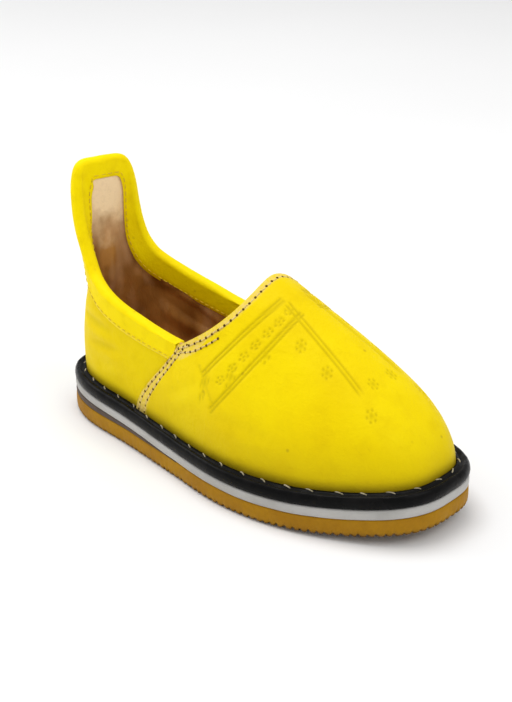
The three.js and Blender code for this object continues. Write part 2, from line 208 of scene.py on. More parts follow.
def last(angle, up):
    """Points of the last: angle goes round from the toe, up goes from the foot to the top."""
    angle, up = matched(angle, up)
    wrapped = np.abs(angle) > PI
    turn = np.where(wrapped, 2 * PI - np.abs(angle), np.abs(angle))
    side = np.where(wrapped, -np.sign(angle), np.sign(angle))
    foot_x, foot_y = foot_point(turn)
    step = 1e-4
    ax, ay = foot_point(np.clip(turn - step, 0, PI))
    bx, by = foot_point(np.clip(turn + step, 0, PI))
    along = np.hypot(bx - ax, by - ay)
    nx, ny = (by - ay) / along, -(bx - ax) / along
    front = turn <= SEAM
    forward = np.clip(turn / SEAM, 0, 1)
    toe = 0.5 + 0.5 * np.cos(PI * forward)
    flank = np.sin(PI * forward)
    back = np.where(front, 0, (turn - SEAM) / (PI - SEAM))
    settle = smooth(back)
    high_back = np.sin(PI / 2 * np.minimum(1.25 * back, 1))
    # where the line ends
    arch = PI / 2 * forward**THROAT_ROUND
    end_z = blend(FRONT_Z, THROAT_Z, np.maximum(np.cos(arch), 0) ** THROAT_ARCH)
    peak = PEAK_HIGH * bell(arch, PEAK_WIDE)
    down = np.clip((THROAT_Z - end_z) / (THROAT_Z - FRONT_Z), 0, 1)
    end_x = blend(THROAT_X, FRONT_X, down**THROAT_SLOPE)
    end_y = FRONT_Y * np.sin(arch)
    share = np.clip((foot_x - FOOT_HEEL) / (SEAM_FOOT_X - FOOT_HEEL), 0, 1)
    end_x = np.where(front, end_x, blend(TAB_X, FRONT_X, share**TAB_BLEND))
    start_width = FRONT_Y / SEAM_FOOT_Y
    wide = SIDE_WIDE * (bell(back - SIDE_AT, SIDE_LONG) - bell(SIDE_AT, SIDE_LONG) * (1 - back))
    end_y = np.where(front, end_y, foot_y * (start_width + wide + (TAB_WIDTH - start_width) * settle))
    end_z = np.where(front, end_z + peak, blend(FRONT_Z, TAB_Z, high_back))
    rise = REAR_RISE + (FLANK_RISE - REAR_RISE) * flank + (TOE_RISE - REAR_RISE) * toe
    rise = np.where(front, rise, REAR_RISE + 0.3 * (TAB_Z - FRONT_Z) * high_back)
    bulge = REAR_BULGE + (FLANK_BULGE - REAR_BULGE) * flank + (TOE_BULGE - REAR_BULGE) * toe
    bulge = np.where(front, bulge, REAR_BULGE)
    start = np.stack([foot_x, foot_y, midsole_top(foot_x) + GAP / 2], -1)
    upright = start + np.stack([nx * bulge, ny * bulge, rise], -1)
    end = np.stack([end_x, end_y, end_z], -1)
    reach = CROWN_REACH * (1 - settle)
    run = np.hypot(end_x - foot_x, end_y - foot_y)
    drop = np.where(front, CROWN_DROP * (1 - toe), blend(CROWN_DROP, TAB_STRAIGHT, settle))
    hollow = TAB_HOLLOW * settle * np.maximum(-nx, 0) ** 2
    crown_x = end_x - reach * (end_x - foot_x) + hollow
    crown_y = end_y - reach * (end_y - foot_y)
    crown = np.stack([crown_x, crown_y, end_z - CROWN_SLOPE * reach * run - drop], -1)
    v = up[..., None]
    w = 1 - v
    points = w**3 * start + 3 * w * w * v * upright + 3 * w * v * v * crown + v**3 * end
    waist = WAIST_DEEP * smooth(1.5 * back) * bell(points[..., 2] - WAIST_Z, WAIST_TALL)
    points[..., 0] -= nx * waist
    points[..., 1] -= ny * waist
    points[..., 1] *= side
    # the tab stands a little turned to the right
    twist = TWIST * smooth((points[..., 2] - TWIST_FROM) / TWIST_TALL) * smooth(2 * back)
    x, y = points[..., 0] - TWIST_X, points[..., 1].copy()
    points[..., 0] = TWIST_X + x * np.cos(twist) + y * np.sin(twist)
    points[..., 1] = y * np.cos(twist) - x * np.sin(twist)
    return points


def length(v):
    return np.linalg.norm(v, axis=-1)


def unit(v):
    return v / np.maximum(np.linalg.norm(v, axis=-1, keepdims=True), 1e-12)


def dot(a, b):
    return (a * b).sum(-1)


def last_frame(angle, up):
    """Point, the two directions in the surface and the normal."""
    turn_step, up_step = 2e-3, 1e-3
    low, high = np.maximum(up - up_step, 0), np.minimum(up + up_step, 1)
    around = (last(angle + turn_step, up) - last(angle - turn_step, up)) / (2 * turn_step)
    rising = (last(angle, high) - last(angle, low)) / (high - low)[..., None]
    return last(angle, up), around, rising, unit(np.cross(around, rising))


def skin(angle, up, depth):
    """Points at a depth under the last's surface."""
    angle, up, depth = matched(angle, up, depth)
    point, _, _, normal = last_frame(angle, up)
    return point - normal * depth[..., None]


def up_at_height(angle, height):
    """How far up the last a height is, found by halving."""
    angle, height = matched(angle, height)
    low, high = np.zeros(angle.shape), np.ones(angle.shape)
    for _ in range(26):
        middle = (low + high) / 2
        below = last(angle, middle)[..., 2] < height
        low, high = np.where(below, middle, low), np.where(below, high, middle)
    return (low + high) / 2


def way_along(points):
    """How far along a line each of its points is."""
    return np.concatenate([[0], np.cumsum(length(np.diff(points, axis=0)))])


def resample(points, count, *others):
    """others read at count places an equal way apart along points."""
    way = way_along(points)
    want = np.linspace(0, way[-1], count)
    return [np.interp(want, way, o) for o in others]


def collar_line(count):
    """Angles and tops round the quarter, from the left seam over the heel to the right seam."""
    rows = np.arange(len(COLLAR), dtype=float)
    t = np.linspace(len(COLLAR) - 1, 0, 1500)
    back, high = through(rows, COLLAR[:, 0], t), through(rows, COLLAR[:, 1], t)
    angle = PI - back * (PI - SEAM)
    # the tab's top is not quite square: lower on the left
    lean = TAB_LEAN * smooth((high - 55) / 18) * smooth(back / 0.48)
    sides = []
    for side in (-1, 1):
        up = up_at_height(angle, high + side * lean)
        edge = last(angle, up)
        foot = last(angle, 0)
        even = np.concatenate([edge, 0.5 * foot], axis=1)
        sides.append(resample(even, count // 2 + 1, angle, up))
    (left, left_up), (right, right_up) = sides
    return (
        np.concatenate([left, 2 * PI - right[-2::-1]]),
        np.concatenate([left_up, right_up[-2::-1]]),
    )


# ---- noise and creases
def lumps(points, size, seed):
    """Smooth random heights from -1 to 1, with lumps of that size."""
    rng = np.random.default_rng(SEED + seed)
    table = rng.uniform(-1, 1, (32, 32, 32))
    q = points / size + 100.0
    cell = np.floor(q).astype(int)
    f = q - cell
    f = f * f * (3 - 2 * f)
    total = np.zeros(points.shape[:-1])
    for corner in np.ndindex(2, 2, 2):
        weight = np.where(corner, f, 1 - f).prod(-1)
        i, j, k = np.moveaxis((cell + corner) % 32, -1, 0)
        total += weight * table[i, j, k]
    return total


def nearest(points, line, values):
    """For each point, its distance to a line, and the line's value there."""
    near = np.full(points.shape[:-1], 1e9)
    found = np.zeros(points.shape[:-1])
    for place, value in zip(line, values):
        d = length(points - place)
        closer = d < near
        near = np.where(closer, d, near)
        found = np.where(closer, value, found)
    return near, found


def crease(points, start, middle, end, width, depth):
    """A soft trough along a bent line with a low ridge on either side, fading at both ends."""
    t = np.linspace(0, 1, 24)
    steps = t[:, None]
    start, middle, end = (np.array(p, float) for p in (start, middle, end))
    line = (1 - steps) ** 2 * start + 2 * steps * (1 - steps) * middle + steps**2 * end
    near, where = nearest(points, line, t)
    fade = np.clip(4 * where * (1 - where), 0, 1)
    return -depth * fade * (bell(near, width) - 0.55 * bell(near - 2.1 * width, 1.1 * width))


# ---- meshes
def add_object(name, data):
    obj = bpy.data.objects.new(name, data)
    bpy.context.scene.collection.objects.link(obj)
    return obj


def make_object(name, points, faces, materials, indices=None, marks=None):
    """A smooth mesh in metres from points in millimetres. marks are named values per point."""
    mesh = bpy.data.meshes.new(name)
    mesh.from_pydata((points.reshape(-1, 3) * METRES).tolist(), [], faces)
    mesh.update()
    for material in materials:
        mesh.materials.append(material)
    if indices is not None:
        mesh.polygons.foreach_set("material_index", np.asarray(indices, np.int32))
    mesh.polygons.foreach_set("use_smooth", np.ones(len(mesh.polygons), bool))
    for key, values in (marks or {}).items():
        attribute = mesh.attributes.new(key, "FLOAT", "POINT")
        attribute.data.foreach_set("value", np.asarray(values, np.float32).ravel())
    return add_object(name, mesh)


def join_rings(count, size, closed):
    """Quads between rings of points, each ring a closed loop of that size."""
    i = np.arange(count if closed else count - 1)[:, None]
    k = np.arange(size)[None, :]
    nxt, after = (i + 1) % count, (k + 1) % size
    quads = np.stack([i * size + k, nxt * size + k, nxt * size + after, i * size + after], -1)
    return quads.reshape(-1, 4).tolist()


def ring_caps(count, size):
    """Quads that close both ends of a row of flat rings whose sides run to and fro."""
    caps = []
    end = (count - 1) * size
    for k in range(size // 2 - 1):
        across = size - 1 - k
        caps.append([k, k + 1, across - 1, across])
        caps.append([end + k, end + across, end + across - 1, end + k + 1])
    return caps


def ring_solid(name, rings, closed, materials, row_material=None, cap_material=0, marks=None):
    count, size, _ = rings.shape
    faces = join_rings(count, size, closed)
    rows = np.zeros(size, int) if row_material is None else np.asarray(row_material)
    indices = np.tile(rows, count if closed else count - 1).tolist()
    if not closed:
        caps = ring_caps(count, size)
        faces += caps
        indices += [cap_material] * len(caps)
    return make_object(name, rings, faces, materials, indices, marks)


def row_marks(rings, count, **values):
    """Marks on the first count rows of every ring, and nothing on the others."""
    marks = {}
    for key, value in values.items():
        marks[key] = np.zeros(rings.shape[:2])
        marks[key][:, :count] = value
    return marks


def finish_piece(obj, slot, *nodes):
    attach(obj, "root")
    if nodes:
        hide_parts(*nodes)


# ---- materials
class Look:
    """A node material. Its colours and its bumps are built up in layers, each over the ones before."""

    def __init__(self, name, light):
        self.material = bpy.data.materials.new(name)
        self.material.use_nodes = True
        self.tree = self.material.node_tree
        self.place = self.node("ShaderNodeTexCoord").outputs["Object"]
        self.colour = light
        self.normal = None

    def node(self, kind, values=None, **settings):
        made = self.tree.nodes.new(kind)
        for key, value in settings.items():
            setattr(made, key, value)
        self.fill(made, values or {})
        return made

    def fill(self, made, values):
        """Gives a node's inputs numbers, colours or other nodes' outputs."""
        for key, value in values.items():
            socket = made.inputs[key]
            if isinstance(value, bpy.types.NodeSocket):
                self.tree.links.new(value, socket)
            elif isinstance(value, tuple) and len(value) == 3 and len(socket.default_value) == 4:
                socket.default_value = (*value, 1)
            else:
                socket.default_value = value

    def noise(self, size, detail=3.0, rough=0.55, squash=(1, 1, 1), bent=0.0):
        """Noise from 0 to 1 with lumps of about that size in millimetres."""
        stretched = self.node("ShaderNodeMapping", {"Vector": self.place, "Scale": squash})
        values = {"Vector": stretched.outputs[0], "Scale": 1 / (size * METRES), "Detail": detail}
        values |= {"Roughness": rough, "Distortion": bent}
        return self.node("ShaderNodeTexNoise", values).outputs["Fac"]

    def cells(self, size, feature="F1"):
        values = {"Vector": self.place, "Scale": 1 / (size * METRES)}
        return self.node("ShaderNodeTexVoronoi", values, feature=feature).outputs["Distance"]

    def ramp(self, value, low, high, to_low=0.0, to_high=1.0):
        values = {"Value": value, "From Min": low, "From Max": high, "To Min": to_low, "To Max": to_high}
        return self.node("ShaderNodeMapRange", values).outputs[0]

    def maths(self, operation, a, b):
        return self.node("ShaderNodeMath", {0: a, 1: b}, operation=operation).outputs[0]

    def times(self, a, b):
        return self.maths("MULTIPLY", a, b)

    def mark(self, name):
        return self.node("ShaderNodeAttribute", attribute_name=name).outputs["Fac"]

    def height(self):
        return self.node("ShaderNodeSeparateXYZ", {"Vector": self.place}).outputs["Z"]

    def over(self, share, colour):
        """Lays that share of a colour over the others."""
        values = {0: share, 6: self.colour, 7: colour}
        self.colour = self.node("ShaderNodeMix", values, data_type="RGBA").outputs[2]

    def spots(self, noise, low, high, most, colour):
        """Lays a colour where noise is high: none of it at low and the most at high."""
        self.over(self.ramp(noise, low, high, 0, most), colour)

    def bump(self, value, tall, strength):
        """Adds bumps that are about that tall, in millimetres."""
        values = {"Height": value, "Strength": strength, "Distance": tall * METRES}
        if self.normal is not None:
            values["Normal"] = self.normal
        self.normal = self.node("ShaderNodeBump", values).outputs[0]

    def finish(self, roughness, specular):
        values = {"Base Color": self.colour, "Roughness": roughness, "Specular IOR Level": specular}
        if self.normal is not None:
            values["Normal"] = self.normal
        self.fill(self.tree.nodes["Principled BSDF"], values)
        return self.material


def yellow_leather(name, light=(0.9, 0.69, 0.0), shade=(0.85, 0.62, 0.0)):
    look = Look(name, light)
    look.spots(look.noise(22, 3, 0.5), 0.35, 0.68, 1, shade)
    cloudy = look.noise(6, 4, 0.6)
    look.spots(cloudy, 0.5, 0.8, 0.4, (0.72, 0.5, 0.0))
    # small scuffs and specks of dirt
    specks = look.ramp(look.cells(5.5), 0.05, 0.13, 0.5, 0)
    here = look.ramp(look.noise(17, 2), 0.52, 0.62)
    look.over(look.times(specks, here), (0.33, 0.2, 0.01))
    look.spots(look.noise(2.2, 5, 0.7, (1, 3, 1.5)), 0.6, 0.8, 0.35, (0.64, 0.45, 0.0))
    # tooled places are darker, creases and hollows get painted shade, and the foot by the welt gets grime
    # and painted shade
    look.over(look.times(look.mark("tooled"), 0.5), (0.36, 0.26, 0.0))
    look.over(look.times(look.mark("foot"), 0.85), (0.26, 0.18, 0.005))
    # round the stitches the dye is worn through
    worn = look.ramp(look.noise(0.9, 4, 0.65), 0.36, 0.66, 0.12, 0.75)
    look.over(look.times(look.mark("worn"), worn), (0.86, 0.64, 0.22))
    look.bump(look.noise(3.2, 4, 0.6, bent=0.6), 0.26, 0.8)
    look.bump(look.cells(0.75, "SMOOTH_F1"), 0.07, 0.6)
    look.bump(look.noise(0.35, 3, 0.6), 0.04, 0.5)
    return look.finish(look.ramp(cloudy, 0.3, 0.75, 0.46, 0.62), 0.06)


def raw_leather(name, light, shade, fibre=0.3):
    look = Look(name, light)
    look.spots(look.noise(5, 4), 0.35, 0.7, 1, shade)
    fibres = look.noise(fibre, 4, 0.7)
    look.spots(fibres, 0.35, 0.75, 0.5, shade)
    look.bump(fibres, 0.15, 0.8)
    return look.finish(0.85, 0.25)


def lining_leather(name):
    """Undyed leather, paler on the tab; lower inside it turns brown with painted shade, and its wrinkles
    get blotches and pale patches that are partly painted shade and highlight.
    """
    look = Look(name, (0.98, 0.74, 0.45))
    uneven = look.maths("ADD", look.height(), look.ramp(look.noise(8, 3), 0.2, 0.8, -0.005, 0.005))
    # lower inside, the lining turns brown: its own colour, deepened by painted shade
    deep_brown_and_shade = look.ramp(uneven, 0.062, 0.05)
    look.over(deep_brown_and_shade, (0.5, 0.23, 0.055))
    # dark blotches low inside: mottling of the leather, and painted shade in its wrinkles
    blotches_and_wrinkle_shade = look.ramp(look.noise(12, 2, 0.5, (1, 1, 0.8), 0.5), 0.4, 0.62, 0, 0.85)
    look.over(look.times(blotches_and_wrinkle_shade, deep_brown_and_shade), (0.22, 0.08, 0.01))
    # pale patches low inside: rubbed leather, and painted highlight on its folds
    worn = look.ramp(look.noise(10, 2, 0.5, (1, 1, 0.5)), 0.5, 0.68, 0, 0.75)
    look.over(look.times(worn, deep_brown_and_shade), (0.74, 0.44, 0.23))
    look.spots(look.noise(1.4, 5, 0.7), 0.5, 0.8, 0.22, (0.28, 0.13, 0.04))
    look.bump(look.noise(3.5, 4, 0.6, (1, 1, 0.5), 0.8), 0.5, 0.7)
    look.bump(look.noise(0.4, 3), 0.06, 0.6)
    return look.finish(look.ramp(look.noise(6, 3), 0.3, 0.7, 0.42, 0.62), 0.25)


def black_rubber(name):
    look = Look(name, (0.003, 0.003, 0.003))
    look.spots(look.noise(4, 4), 0.45, 0.8, 1, (0.009, 0.008, 0.008))
    # dust
    look.spots(look.noise(0.7, 5, 0.7), 0.64, 0.82, 0.18, (0.1, 0.085, 0.05))
    look.bump(look.noise(1.6, 4), 0.12, 0.6)
    return look.finish(look.ramp(look.noise(2.5, 4), 0.3, 0.75, 0.24, 0.4), 0.07)


def white_foam(name):
    look = Look(name, (0.47, 0.46, 0.44))
    look.spots(look.noise(12, 4), 0.4, 0.75, 1, (0.37, 0.36, 0.34))
    pores = look.cells(0.5)
    look.over(look.ramp(pores, 0.05, 0.35, 0.22, 0), (0.4, 0.38, 0.34))
    # grime
    look.spots(look.noise(3, 5, 0.7, (1, 1, 2)), 0.6, 0.82, 0.4, (0.34, 0.3, 0.22))
    look.bump(pores, 0.08, 0.5)
    look.bump(look.noise(2.4, 3, 0.5, (1, 1, 3)), 0.12, 0.5)
    return look.finish(0.62, 0.3)


def brown_rubber(name):
    look = Look(name, (0.1, 0.07, 0.055))
    look.spots(look.noise(5, 4), 0.35, 0.75, 1, (0.06, 0.04, 0.03))
    look.spots(look.noise(0.5, 3), 0.55, 0.8, 0.35, (0.2, 0.15, 0.11))
    look.bump(look.noise(0.6, 4), 0.08, 0.6)
    return look.finish(0.66, 0.3)


def ochre_rubber(name):
    look = Look(name, (0.42, 0.21, 0.005))
    look.spots(look.noise(14, 4), 0.35, 0.7, 1, (0.33, 0.15, 0.004))
    look.spots(look.noise(1.1, 5, 0.7), 0.45, 0.8, 0.45, (0.24, 0.115, 0.004))
    # the bottom band is darker: dirt on the tread, and painted shade where the sole meets the floor
    look.over(look.mark("tread_and_contact_shade"), (0.07, 0.035, 0.012))
    # level streaks, and a fine grain
    look.bump(look.noise(0.7, 3, 0.6, (1, 1, 0.18)), 0.1, 0.6)
    look.bump(look.noise(0.3, 3), 0.04, 0.5)
    return look.finish(look.ramp(look.noise(3, 4), 0.3, 0.75, 0.5, 0.68), 0.12)


def thread(name, light, shade):
    look = Look(name, light)
    look.spots(look.noise(0.9, 4), 0.35, 0.7, 1, shade)
    look.bump(look.noise(0.18, 3, 0.6), 0.08, 0.8)
    return look.finish(0.8, 0.2)


def needle_hole_shade(name):
    # a dark brown that paints the shade down in a needle hole
    look = Look(name, (0.06, 0.03, 0.008))
    look.spots(look.noise(0.8, 3), 0.35, 0.7, 1, (0.16, 0.085, 0.015))
    return look.finish(0.9, 0.1)


YELLOW = yellow_leather("yellow_leather")
# the binding's yellow is brighter than the other pieces': painted light on the binding, most of all for the
# inner face of its far leg
BINDING_PAINTED_LIGHT = yellow_leather("yellow_binding_leather_painted_light", (1.0, 0.79, 0.0), (0.95, 0.72, 0.0))
RAW = raw_leather("raw_leather_edge", (0.8, 0.52, 0.24), (0.6, 0.34, 0.11))
LINING = lining_leather("lining_leather")
BOARD = raw_leather("insole_board", (0.5, 0.25, 0.1), (0.34, 0.15, 0.05), 0.8)
BLACK = black_rubber("black_rubber")
FOAM = white_foam("white_foam")
BROWN = brown_rubber("brown_rubber")
OCHRE = ochre_rubber("ochre_rubber")
CREAM = thread("cream_thread", (0.84, 0.66, 0.3), (0.6, 0.43, 0.13))
WAXED = thread("waxed_thread", (0.5, 0.44, 0.3), (0.26, 0.23, 0.15))
AMBER = thread("amber_thread", (0.82, 0.58, 0.03), (0.62, 0.42, 0.03))
HOLE_SHADE = needle_hole_shade("needle_hole_shade")

# ---- the vamp
VAMP_COLUMNS = 380
VAMP_ROWS = 185
VAMP_BACK_ROWS = 26
# share of the thickness, rise over the edge
VAMP_RIM = ((0.08, 0.14), (0.3, 0.24), (0.7, 0.22), (0.94, 0.1))
# the throat's edge, and how far each of its points is from its peak
THROAT = last(np.linspace(-SEAM, SEAM, 400), 1.0)
THROAT_WAY = way_along(THROAT)
THROAT_WAY = np.abs(THROAT_WAY - THROAT_WAY[-1] / 2)
# distance of each row of seam stitches from the vamp's edge
SEAM_ROWS = (1.25, 4.0)
VAMP_CREASES = [
    ((40, -28, 20), (20, -27, 25), (2, -24, 22), 1.6, 0.16),
    ((-18, -20, 20), (-10, -21, 24), (0, -21, 30), 1.4, 0.18),
    ((-18, 20, 20), (-8, 21, 24), (4, 21, 31), 1.4, 0.18),
    ((36, 28, 19), (18, 27, 24), (4, 25, 22), 1.6, 0.16),
]
# tooled lines that follow the throat: way from its peak, distance from its edge
LINE_NEAR = np.array([(5.5, 7.6), (12, 7.1), (18, 7.2), (25, 8.6), (31, 10.4)])
LINE_FAR = np.array([(5.5, 14.2), (12, 14.7), (18, 15.8), (25, 18.2), (31, 20.6)])
# stamps between those lines, placed the same way
STAMPS = [(7.1, 11.2), (10.2, 11.5), (13.2, 11.6), (16.3, 11.9), (19.4, 12.5), (22.6, 13.3), (26.2, 14.4)]
# rosettes on the top of the foot: along, across
ROSETTES = [(17.1, 15.9), (24.7, 10.2), (34.1, 10.9), (9.3, 21.0), (0.6, 21.8), (48.6, 10.6), (44.0, 4.0)]
TOOL_WIDTH = 0.36
# where the lines along the throat start and end, and how far apart the two of a pair are
LINE_START, LINE_END = 5.5, 31.0
LINE_APART, TOE_LINE_APART = 1.15, 1.2
TOOLED_ABOVE = 18.0


def line_pair(offset, apart):
    """Two tooled lines side by side."""
    return np.maximum(bell(offset - apart / 2, TOOL_WIDTH), bell(offset + apart / 2, TOOL_WIDTH))


def tooling(points, distance, way):
    """How deep the tooling is, from 0 to 1."""
    cut = np.zeros(points.shape[:-1])
    ends = smooth((way - LINE_START + 0.5) / 0.8) * smooth((LINE_END + 0.5 - way) / 0.8)
    for table in (LINE_NEAR, LINE_FAR):
        middle = through(table[:, 0], table[:, 1], np.clip(way, LINE_START, LINE_END))
        cut = np.maximum(cut, ends * line_pair(distance - middle, LINE_APART))
    # the line that closes them below
    between = smooth((distance - 7.0) / 0.8) * smooth((20.8 - distance) / 0.8)
    cut = np.maximum(cut, 0.5 * between * bell(way - LINE_END + 0.12 * (distance - 10), TOOL_WIDTH))
    # lines that run on towards the toe
    x, y = points[..., 0], np.abs(points[..., 1])
    forward = smooth((x - 14.5) / 1.0) * smooth((45 - x) / 3.0)
    across = 4.2 + 0.156 * (x - 14.3)
    cut = np.maximum(cut, 0.8 * forward * line_pair(y - across, TOE_LINE_APART))
    top = points[..., 2] > TOOLED_ABOVE
    for s, d in STAMPS:
        r = np.hypot(way - s, distance - d)
        turn = np.arctan2(distance - d, way - s)
        ring = bell(r - 0.95, 0.3) * (0.55 + 0.45 * np.cos(5 * turn))
        cut = np.maximum(cut, np.maximum(ring, 0.9 * bell(r, 0.32)))
    for rx, ry in ROSETTES:
        r = np.hypot(x - rx, y - ry)
        turn = np.arctan2(y - ry, x - rx)
        ring = bell(r - 1.25, 0.34) * (0.5 + 0.5 * np.cos(6 * turn))
        cut = np.maximum(cut, 0.9 * top * np.maximum(ring, 0.85 * bell(r, 0.7)))
    return cut


TOOL_DEPTH = 0.24
WELT_TALL = 3.6
# columns gather towards the peak of the throat
GATHER = 1.25


def welt_grime_and_shade(point, wide):
    """Grime and painted shade where the leather meets the welt, and a fainter painted shade that reaches
    higher.
    """
    above = point[..., 2] - midsole_top(point[..., 0])
    up = np.maximum(above - WELT_TALL, 0)
    return (1 - wide) * bell(up, 2.2) + wide * bell(up, 11)


def worn_edge(distance, width):
    """1 between an edge and that distance from it."""
    return smooth((width - distance) / 0.7)


def build_vamp():
    q = np.linspace(-1, 1, VAMP_COLUMNS)
    angle = SEAM * np.sign(q) * np.abs(q) ** GATHER
    up = np.linspace(0, 1, VAMP_ROWS)
    grid_angle, grid_up = np.meshgrid(angle, up, indexing="ij")
    point, around, _, normal = last_frame(grid_angle, grid_up)
    to_seam = (SEAM - np.abs(grid_angle)) * length(around)
    distance, way = nearest(point, THROAT, THROAT_WAY)
    cut = tooling(point, distance, way)
    worn = np.maximum(worn_edge(to_seam, 5.1), worn_edge(distance, 2.3 + 1.8 * smooth((way - 26) / 6)))
    relief = 0.16 * lumps(point, 13, 1) + 0.06 * lumps(point, 5, 2)
    for row in VAMP_CREASES:
        relief += crease(point, *row)
    relief *= smooth(grid_up / 0.1)
    relief -= TOOL_DEPTH * cut
    # stitching pulls the edge down along its row
    for row in SEAM_ROWS:
        relief -= 0.1 * bell(to_seam - row, 0.5)
    outer = point + normal * relief[..., None]
    thick = blend(LAP_THICK, VAMP_THICK, smooth((to_seam - 9) / 4))
    pick = np.linspace(VAMP_ROWS - 1, 0, VAMP_BACK_ROWS).astype(int)
    inner = point[:, pick] - normal[:, pick] * thick[:, pick, None]
    rim = rim_rows(angle, np.ones(VAMP_COLUMNS), False, 0, thick[:, -1, None], VAMP_RIM)
    rings = np.concatenate([outer, rim, inner], axis=1)
    rows = np.zeros(rings.shape[1], int)
    rows[VAMP_ROWS:] = 1
    marks = row_marks(rings, VAMP_ROWS, tooled=cut, foot=welt_grime_and_shade(point, 0.3), worn=worn)
    finish_piece(ring_solid("vamp", rings, False, [YELLOW, RAW], rows, 1, marks), "yellow_leather", "upper")


# ---- the quarter, lining and insole
def edge_outward(angle, up, closed):
    """The top edge, its normal, and the way out of the leather within its own surface."""
    point, _, _, normal = last_frame(angle, up)
    if closed:
        along = np.roll(point, -1, axis=0) - np.roll(point, 1, axis=0)
    else:
        along = np.gradient(point, axis=0)
    return point, normal, -unit(np.cross(along, normal))


def rim_rows(angle, up, closed, start, end, profile):
    """Rows over the top edge, from one depth to another. profile: share of that way, rise."""
    edge, normal, out = edge_outward(angle, up, closed)
    rows = [edge - normal * blend(start, end, share) + out * rise for share, rise in profile]
    return np.stack(rows, 1)


QUARTER_CREASES = [
    ((-58, -14, 24), (-48, -18, 27), (-36, -18, 27), 1.3, 0.5),
    ((-60, -10, 32), (-50, -17, 33), (-40, -17, 32), 1.5, 0.5),
    ((-56, -16, 18), (-44, -20, 20), (-32, -20, 24), 1.3, 0.4),
    ((-58, 14, 25), (-48, 18, 27), (-34, 18, 26), 1.4, 0.5),
    ((-60, 10, 34), (-50, 16, 33), (-42, 17, 31), 1.5, 0.45),
    ((-62, -6, 40), (-64, 0, 37), (-62, 6, 41), 1.6, 0.3),
    ((-63, -6, 22), (-65, 0, 24), (-63, 7, 21), 1.8, 0.25),
]
QUARTER_COLUMNS = 400
QUARTER_ROWS = 100
# how far the quarter runs on under the vamp, as an angle
TUCK = 0.14


def build_quarter():
    angle, top = collar_line(QUARTER_COLUMNS)
    tuck = np.linspace(TUCK, 0.006, 10)
    angle = signed(np.concatenate([SEAM - tuck, angle[1:-1], 2 * PI - SEAM + tuck[::-1]]))
    under = np.full(10, 0.94)
    top = np.concatenate([under, top[1:-1], under])
    share = np.linspace(0, 1, QUARTER_ROWS)
    grid_angle = np.repeat(angle[:, None], QUARTER_ROWS, 1)
    point, _, _, normal = last_frame(grid_angle, top[:, None] * share)
    hidden = (np.abs(grid_angle) < SEAM).astype(float)
    relief = 0.22 * lumps(point, 12, 3) + 0.1 * lumps(point, 5, 4)
    for row in QUARTER_CREASES:
        relief += crease(point, *row)
    relief *= smooth(share / 0.12) * smooth((1 - share) / 0.2) * (1 - hidden)
    outer = point + normal * (relief - LAP)[..., None]
    inner = (point - normal * QUARTER_BACK)[:, ::-4]
    rings = np.concatenate([outer, inner], axis=1)
    # painted shade in the creases and sunk hollows of the quarter, laid on through the tooling mark
    crease_shade = np.clip(-relief * 0.8, 0, 0.35)
    marks = row_marks(rings, QUARTER_ROWS, tooled=crease_shade, foot=welt_grime_and_shade(point, 0.1), worn=0)
    finish_piece(ring_solid("quarter", rings, False, [YELLOW], marks=marks), "yellow_leather")


LINING_CREASES = [
    ((-60, -6, 58), (-56, -12, 48), (-48, -14, 36), 1.9, 0.8),
    ((-60, 6, 56), (-56, 12, 48), (-46, 15, 36), 2.0, 0.9),
    ((-61, 0, 52), (-61, 2, 40), (-59, 2, 26), 2.2, 0.7),
    ((-52, 14, 40), (-40, 17, 33), (-24, 17, 28), 2.1, 1.0),
    ((-50, 15, 28), (-38, 17, 25), (-24, 17, 20), 2.3, 1.0),
    ((-52, -14, 40), (-44, -16, 34), (-34, -16, 24), 2.0, 0.8),
]
LINING_ROWS = 76
LINING_RIM = ((0.1, 0.1), (0.5, 0.18), (0.85, 0.08))


def whole_line(vamp_count, quarter_count):
    """Angles and tops all the way round, from the toe by the left side and back to it."""
    q = np.linspace(0, 1, vamp_count)
    front = SEAM * q**GATHER
    angle, top = collar_line(quarter_count)
    angle = np.concatenate([front[:-1], angle, 2 * PI - front[:0:-1]])
    top = np.concatenate([np.ones(vamp_count - 1), top, np.ones(vamp_count - 1)])
    return signed(angle), top


def build_lining():
    angle, top = whole_line(120, 330)
    share = np.linspace(0, 1, LINING_ROWS)
    grid_angle = np.repeat(angle[:, None], LINING_ROWS, 1)
    point, _, _, normal = last_frame(grid_angle, top[:, None] * share)
    behind = smooth((-20 - point[..., 0]) / 15)
    relief = (0.25 * lumps(point, 9, 5) + 0.12 * lumps(point, 4, 6)) * (0.4 + 0.6 * behind)
    for row in LINING_CREASES:
        relief += crease(point, *row)
    relief *= smooth((1 - share) / 0.12)
    face = point - normal * (LINING_FACE + 0.3 * behind - np.minimum(relief, 0.4))[..., None]
    back = (point - normal * LINING_BACK)[:, ::6]
    rim = rim_rows(angle, top, True, LINING_BACK, LINING_FACE, LINING_RIM)
    rings = np.concatenate([back, rim, face[:, ::-1]], axis=1)
    rows = np.zeros(rings.shape[1], int)
    count_back = back.shape[1]
    rows[count_back - 1 : count_back + 3] = 1
    finish_piece(ring_solid("lining", rings, True, [LINING, RAW], rows), "tan_leather")


